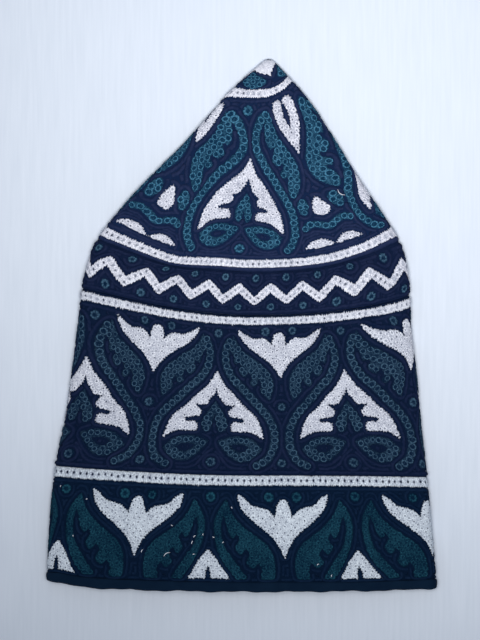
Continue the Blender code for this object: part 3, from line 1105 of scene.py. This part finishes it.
def cord_lines(band, motifs):
    """The stretches of the lines that echo one repeat's motifs and keep clear of each other."""
    shapes = [
        [to_sheet(band, from_sheet(band, loop, repeat)) for loop in motif.loops]
        for motif in motifs for repeat in (-1, 0, 1)
    ]
    shapes += [[loop] for loop in bars(band)]
    top = band.high - (2.0 if band is CROWN else 0.0)
    corners = to_sheet(band, [(p, a) for p in np.linspace(-0.03, 1.03, 12) for a in (band.low, top)])
    field = Field(shapes, corners.min(axis=0) - 1, corners.max(axis=0) + 1, CORD_FIELD)
    margin = 1.2 / (60 if band is CROWN else sheet_pitch(band))
    lines = []
    taken = np.full((1, 2), 1e6)
    for line in echoes(field):
        phase, along = from_sheet(band, line).T
        good = (phase > -margin) & (phase < 1 + margin) & (along > band.low + 1.0) & (along < top - 1.0)
        run = []
        for point, fine in zip([*line, None], [*good, False]):
            others = np.concatenate([taken, run[:-3]]) if len(run) > 3 else taken
            if fine and np.hypot(*(others - point).T).min() > CORD_CLEAR:
                run.append(point)
                continue
            if len(run) > 1:
                lines.append(np.array([*run, point] if fine else run))
                taken = np.concatenate([taken, run])
            run = []
    return lines


def add_cord(stitches, line):
    """A couched cord along a line: a low rounded ridge."""
    across = normals(line)
    count = len(line)
    sheet = np.concatenate([line - across * share * CORD_HALF for share, _, _ in CORD_PROFILE])
    levels = np.repeat([height for _, height, _ in CORD_PROFILE], count)
    shades = np.repeat([tone for _, _, tone in CORD_PROFILE], count)
    faces = grid_faces(len(CORD_PROFILE), count, order=INWARD, closed=False)
    for repeat in range(stitches.band.repeats):
        heights = levels + np.tile(rng.normal(0, 0.06, count), len(CORD_PROFILE))
        tones = shades * rng.uniform(0.7, 1.0)
        tones += rng.normal(0, 0.2, len(tones))
        stitches.add(from_sheet(stitches.band, sheet, repeat), heights, faces, tones)


# Ground cloth, binding and loose threads

def ring_columns(along):
    """Distances round the ring for the columns of a cloth mesh, finest at the folds."""
    stops = [0 * along, *ring_sizes(along)]
    half = [
        a[:, None] + (b - a)[:, None] * np.linspace(0, 1, count)[: count if b is stops[-1] else -1]
        for a, b, count in zip(stops, stops[1:], CLOTH_COLUMNS)
    ]
    half = np.concatenate(half, axis=1)
    return np.concatenate([half, -half[:, -2:0:-1]], axis=1)


def cloth(band, material):
    """The navy cloth of a band, embroidered side and lining, as one closed shell."""
    count = int((band.high - band.low) / CLOTH_STEP) + 1
    extra = [band.low + gap for gap in SEAM_ROWS]
    if band is not CROWN:
        extra += [band.high - gap for gap in SEAM_ROWS]
    rows = np.sort([*np.linspace(band.low + 0.1, band.high - 0.1, count), *extra])
    columns = ring_columns(rows)
    lift = proud(band, rows)[:, None] * front_share(columns, rows[:, None])
    outer = surface(columns, rows[:, None], GROUND + lift).reshape(-1, 3)
    inner_rows = np.linspace(rows[0], min(rows[-1], INNER_TIP[1] - 4), count // 3 + 2)
    inner = surface(ring_columns(inner_rows), inner_rows[:, None], -WALL).reshape(-1, 3)
    width = columns.shape[1]
    points = [outer, inner]
    first = len(outer)
    last, inner_last = first - width, first + len(inner) - width
    blocks = [
        grid_faces(len(rows), width),
        grid_faces(len(inner_rows), width, first, INWARD),
        strip(first, 0, width),
    ]
    if band is CROWN:
        points += [np.array([OUTER_TIP]), np.array([INNER_TIP])]
        top = np.full((width, 1), first + len(inner))
        blocks.append(np.hstack([strip(last, 0, width)[:, :2], top]))
        blocks.append(np.hstack([strip(inner_last, 0, width)[:, 1::-1], top + 1]))
    else:
        blocks.append(strip(last, inner_last, width))
    return make_mesh(band.name + "_cloth", np.concatenate(points), blocks, material)


def binding(material):
    """The strip folded over the opening's edge, pressed flat and a little puckered."""
    low = TABLE[0, 0] + BINDING_RISE
    top = LOWER.low - 0.15
    radius = WALL / 2
    profile = [(top, -WALL), (low + 4.5, -WALL - 0.1), (low + 2.5, -WALL)]
    for turn in np.linspace(0, math.pi, 9):
        profile.append((low + radius * (1 - math.sin(turn)), -radius * (1 + math.cos(turn))))
    profile += [(low + 2.6, BINDING_PROUD - 0.2), (low + 3.8, BINDING_PROUD - 0.1),
                (low + 5.0, BINDING_PROUD - 0.2), (low + 6.0, -0.05), (low + 6.6, -0.5), (top, -1.2)]
    around = ring_columns(np.full(1, low))[0]
    uneven = 0.25 * np.sin(around * 0.42 + 1.0) + 0.35 * np.sin(around * 0.17 + 2.0)
    ring = []
    for along, height in profile:
        scaled = ring_columns(np.array([along]))[0]
        front = front_share(scaled, np.array([along]))
        pucker = 0.12 * np.sin(around * 1.9) * np.sin(around * 0.37 + 1.0) * front
        over = height if height < 0 else height * front
        place = along + uneven * np.clip((top - along) / (top - low), 0, 1)
        ring.append(surface(scaled, place, over + (pucker if height > -1.0 else 0.0) - 0.05))
    width = len(around)
    rows = len(profile)
    blocks = [grid_faces(rows, width, order=INWARD), strip(0, (rows - 1) * width, width)]
    return make_mesh("binding_strip", np.concatenate(ring), blocks, material)


def thread_ends(material):
    """Short bent ends of white thread that lie on the stitches."""
    points = []
    blocks = []
    t = np.linspace(-0.5, 0.5, 5)
    steps = len(t)
    radius = THREAD_RADIUS * np.array([0.5, 1.0, 1.0, 0.9, 0.4])
    for end_x, end_y, length, direction in THREAD_ENDS:
        c, s = math.cos(math.radians(direction)), math.sin(math.radians(direction))
        bow = 0.18 * length * (1 - 4 * t**2)
        run, along = on_front(pairs(end_x + t * length * c - bow * s, end_y + t * length * s + bow * c))
        line = surface(run, along, 0.1 + 0.5 * (t + 0.5))
        first = len(points) * steps
        side = np.array([-s, c, 0.0])
        points += [line + radius[:, None] * np.array(way) for way in (side, (0, 0, 1), -side, (0, 0, -1))]
        for k in range(4):
            blocks.append(strip(first + k * steps, first + (k + 1) % 4 * steps, steps)[:-1])
    points = np.concatenate(points)
    return make_mesh("thread_ends", points, blocks, material, np.ones(len(points)))


# Materials

class Paint:
    """A material and the nodes that lead to its shader."""

    def __init__(self, name):
        self.material = bpy.data.materials.new(name)
        self.material.use_nodes = True
        self.tree = self.material.node_tree
        self.place = self.node("TexCoord").outputs["Object"]

    def fill(self, node, inputs):
        """Sets each of some inputs to a number or a colour, or links another node's output to it."""
        for key, value in inputs.items():
            if isinstance(value, bpy.types.NodeSocket):
                self.tree.links.new(value, node.inputs[key])
            else:
                node.inputs[key].default_value = value

    def node(self, kind, inputs=None, **settings):
        node = self.tree.nodes.new("ShaderNode" + kind)
        for key, value in settings.items():
            setattr(node, key, value)
        self.fill(node, inputs or {})
        return node

    def noise(self, place, scale, detail):
        return self.node("TexNoise", {"Vector": place, "Scale": scale, "Detail": detail}).outputs["Fac"]

    def added(self, value, share, rest):
        """value * share + rest"""
        return self.node("Math", {0: value, 1: share, 2: rest}, operation="MULTIPLY_ADD").outputs[0]

    def relief(self, height, strength, depth):
        inputs = {"Height": height, "Strength": strength, "Distance": depth}
        return self.node("Bump", inputs).outputs["Normal"]

    def finished(self, dark, light, factor, **inputs):
        """The material, whose colour goes from dark to light with a factor."""
        mix = self.node("Mix", {0: factor, 6: (*dark, 1), 7: (*light, 1)}, data_type="RGBA")
        inputs = {key.replace("_", " "): value for key, value in inputs.items()}
        self.fill(self.tree.nodes["Principled BSDF"], {"Base Color": mix.outputs[2], **inputs})
        return self.material


def thread(name, dark, light, bump=0.6, speckle=0.9, patches=0.3):
    """Cotton thread, with painted shade in the grooves and painted highlights on the crests of the
    stitches.
    """
    paint = Paint(name)
    strands = paint.noise(paint.place, 2200, 2)
    tufts = paint.noise(paint.place, 850, 2)
    patchy = paint.noise(paint.place, 45, 3)
    tone = paint.node("Attribute", attribute_name="tone").outputs["Fac"]
    factor = paint.added(tone, 0.9, -speckle - patches / 2)
    for share, texture in [(speckle, strands), (speckle, tufts), (patches, patchy)]:
        factor = paint.added(texture, share, factor)
    normal = paint.relief(strands, bump, 0.0002)
    return paint.finished(dark, light, factor, Normal=normal, Roughness=0.85, Specular_IOR_Level=0.05)


def woven(name, dark, light, bump=0.6):
    """Plain cotton under and between the stitches."""
    paint = Paint(name)
    weave = {"Vector": paint.place, "Scale": 420, "Distortion": 1.5}
    warp, weft = (paint.node("TexWave", weave, bands_direction=way).outputs["Fac"] for way in "XY")
    normal = paint.relief(paint.added(warp, 1.0, weft), bump, 0.0003)
    factor = paint.noise(paint.place, 110, 5)
    return paint.finished(dark, light, factor, Normal=normal, Roughness=0.9, Specular_IOR_Level=0.08)


def table_top():
    paint = Paint("pale_table")
    stretched = paint.node("Mapping", {"Vector": paint.place, "Scale": (150, 8, 1)}).outputs["Vector"]
    grain = paint.noise(stretched, 3, 6)
    return paint.finished((0.575, 0.64, 0.735), (0.685, 0.745, 0.84), grain, Roughness=0.6)


# Scene

def camera():
    """Straight down on the cap from far away."""
    data = bpy.data.cameras.new("camera")
    data.sensor_fit = "VERTICAL"
    data.angle = 2 * math.atan(VIEW_HEIGHT / 2 / CAMERA_UP)
    obj = placed("camera", data)
    obj.location = (-0.00115, 0.00427, CAMERA_UP + 0.008)
    bpy.context.scene.camera = obj


def lamp():
    """A soft lamp like a window, overhead and turned a little to the right."""
    place = Vector((0.02, -0.05, 1.1))
    target = Vector((0.1, 0.22, 0))
    data = bpy.data.lights.new("window", "AREA")
    data.shape = "RECTANGLE"
    data.size = data.size_y = 0.5
    data.energy = 1.98
    data.spread = math.radians(64)
    data.color = (1.0, 0.985, 0.975)
    obj = placed("window", data)
    obj.location = place
    obj.rotation_euler = (target - place).to_track_quat("-Z", "Y").to_euler()


def studio():
    """The room's light and the table, whose top is a hair below the cap."""
    world = bpy.data.worlds.new("room")
    world.use_nodes = True
    background = world.node_tree.nodes["Background"]
    background.inputs["Color"].default_value = (0.80, 0.88, 1.0, 1)
    background.inputs["Strength"].default_value = 0.34
    bpy.context.scene.world = world
    mesh = bpy.data.meshes.new("table")
    corners = [(x, y, TABLE_LEVEL) for x, y in ((-2, -2), (2, -2), (2, 2), (-2, 2))]
    mesh.from_pydata(corners, [], [(0, 1, 2, 3)])
    mesh.materials.append(table_top())
    floor = placed("table", mesh)
    bpy.context.scene.view_settings.view_transform = "Standard"


def settle(obj, slot, *nodes):
    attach(obj, "root")
    if nodes:
        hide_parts(*nodes)


def dress(band, look, slot):
    """All the stitching of one band, as one piece for each kind of thread."""
    white, stars, pits, teal, rings, cords = (Stitches(band) for _ in range(6))
    motifs = []
    for kind, colour, axis, chart in SHAPES[band.name]:
        is_white = colour == "white"
        found = motifs_of(band, kind, axis, chart, look.white_eyelet if is_white else look.teal_eyelet)
        motifs += found
        for motif in found:
            if is_white:
                add_patch(white, motif, 0.25, 0.45)
                add_eyelets(stars, pits, motif)
            else:
                add_patch(teal, motif, 0.15, 0.15)
                add_eyelets(rings, rings, motif)
    if band is ZIGZAG:
        for place in to_sheet(band, ZIGZAG_ROSETTES):
            motifs.append(rosette(band, place))
            add_patch(teal, motifs[-1], 0.12)
            add_eyelets(rings, rings, motifs[-1])
    add_stripes(band, white, stars, pits)
    for line in cord_lines(band, motifs):
        add_cord(cords, line)
    teal_paint = thread(look.prefix + "_teal_thread", *look.teal, patches=look.patches)
    pieces = {
        "white_fill": (white, look.white),
        "white_stars": (stars, look.white),
        "teal_fill": (teal, teal_paint),
        "teal_rings": (rings, teal_paint),
        "holes": (pits, HOLE),
        "cords": (cords, thread(look.prefix + "_navy_thread", *look.cord)),
    }
    for label, (stitches, paint) in pieces.items():
        if stitches.count:
            settle(stitches.build(f"{band.name}_{label}", paint), slot)


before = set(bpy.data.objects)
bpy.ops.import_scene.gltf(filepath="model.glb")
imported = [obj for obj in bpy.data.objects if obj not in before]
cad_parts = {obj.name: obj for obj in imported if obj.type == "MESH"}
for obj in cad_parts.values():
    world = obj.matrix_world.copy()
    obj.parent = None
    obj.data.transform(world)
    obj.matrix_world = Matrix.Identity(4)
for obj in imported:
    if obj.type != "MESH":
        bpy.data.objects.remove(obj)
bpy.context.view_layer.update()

camera()
lamp()
studio()

# The wall's and the lower band's whites are darker copies of the crown's white: painted shade for the light
# that falls off towards the opening.
WHITE = thread("white_thread", (0.24, 0.26, 0.34), (0.90, 0.91, 0.99), 0.5)
WALL_WHITE_PAINTED_SHADE = thread("wall_white_thread_painted_shade", (0.22, 0.24, 0.32), (0.83, 0.86, 0.93), 0.5)
LOWER_WHITE_PAINTED_SHADE = thread("lower_white_thread_painted_shade", (0.20, 0.23, 0.31), (0.78, 0.86, 0.93), 0.5)
HOLE = thread("hole_shadow", (0.010, 0.016, 0.036), (0.50, 0.54, 0.63), 0.2, 0.1)

# Each band's colours, dark and light, how patchy its teal is, and its kinds of eyelet. The colours
# step darker from the crown to the lower band: painted shade for the light that falls off towards
# the opening, and painted sheen that lightens the crown's teal and navy.
Look = namedtuple("Look", "prefix white teal cord cloth patches white_eyelet teal_eyelet")
LOOKS = [
    Look("crown", WHITE, ((0.002, 0.021, 0.054), (0.062, 0.200, 0.315)),
         ((0.004, 0.013, 0.046), (0.018, 0.027, 0.074)), ((0.003, 0.012, 0.048), (0.008, 0.022, 0.070)),
         0.3, WHITE_EYELET, CROWN_EYELET),
    Look("band", WHITE, ((0.001, 0.012, 0.036), (0.070, 0.15, 0.23)),
         ((0.002, 0.008, 0.032), (0.012, 0.019, 0.054)), ((0.002, 0.008, 0.032), (0.007, 0.016, 0.052)),
         0.3, WHITE_EYELET, WALL_EYELET),
    Look("wall", WALL_WHITE_PAINTED_SHADE, ((0.001, 0.010, 0.031), (0.052, 0.108, 0.170)),
         ((0.001, 0.008, 0.030), (0.010, 0.017, 0.050)), ((0.001, 0.007, 0.026), (0.004, 0.013, 0.043)),
         0.3, WHITE_EYELET, WALL_EYELET),
    Look("lower", LOWER_WHITE_PAINTED_SHADE, ((0.0005, 0.011, 0.030), (0.014, 0.078, 0.118)),
         ((0.0005, 0.007, 0.026), (0.005, 0.0165, 0.045)), ((0.0005, 0.007, 0.024), (0.002, 0.012, 0.038)),
         0.9, PIN_EYELET, LOWER_EYELET),
]

for band, look in zip(BANDS, LOOKS):
    slot = look.prefix + "_cloth"
    settle(cloth(band, woven(look.prefix + "_navy_cotton", *look.cloth)), slot, band.name)
    dress(band, look, slot)
settle(binding(woven("navy_binding", (0.001, 0.009, 0.028), (0.005, 0.020, 0.048), 0.8)), "binding_cloth",
       "edge_binding")
settle(thread_ends(WHITE), "lower_cloth")
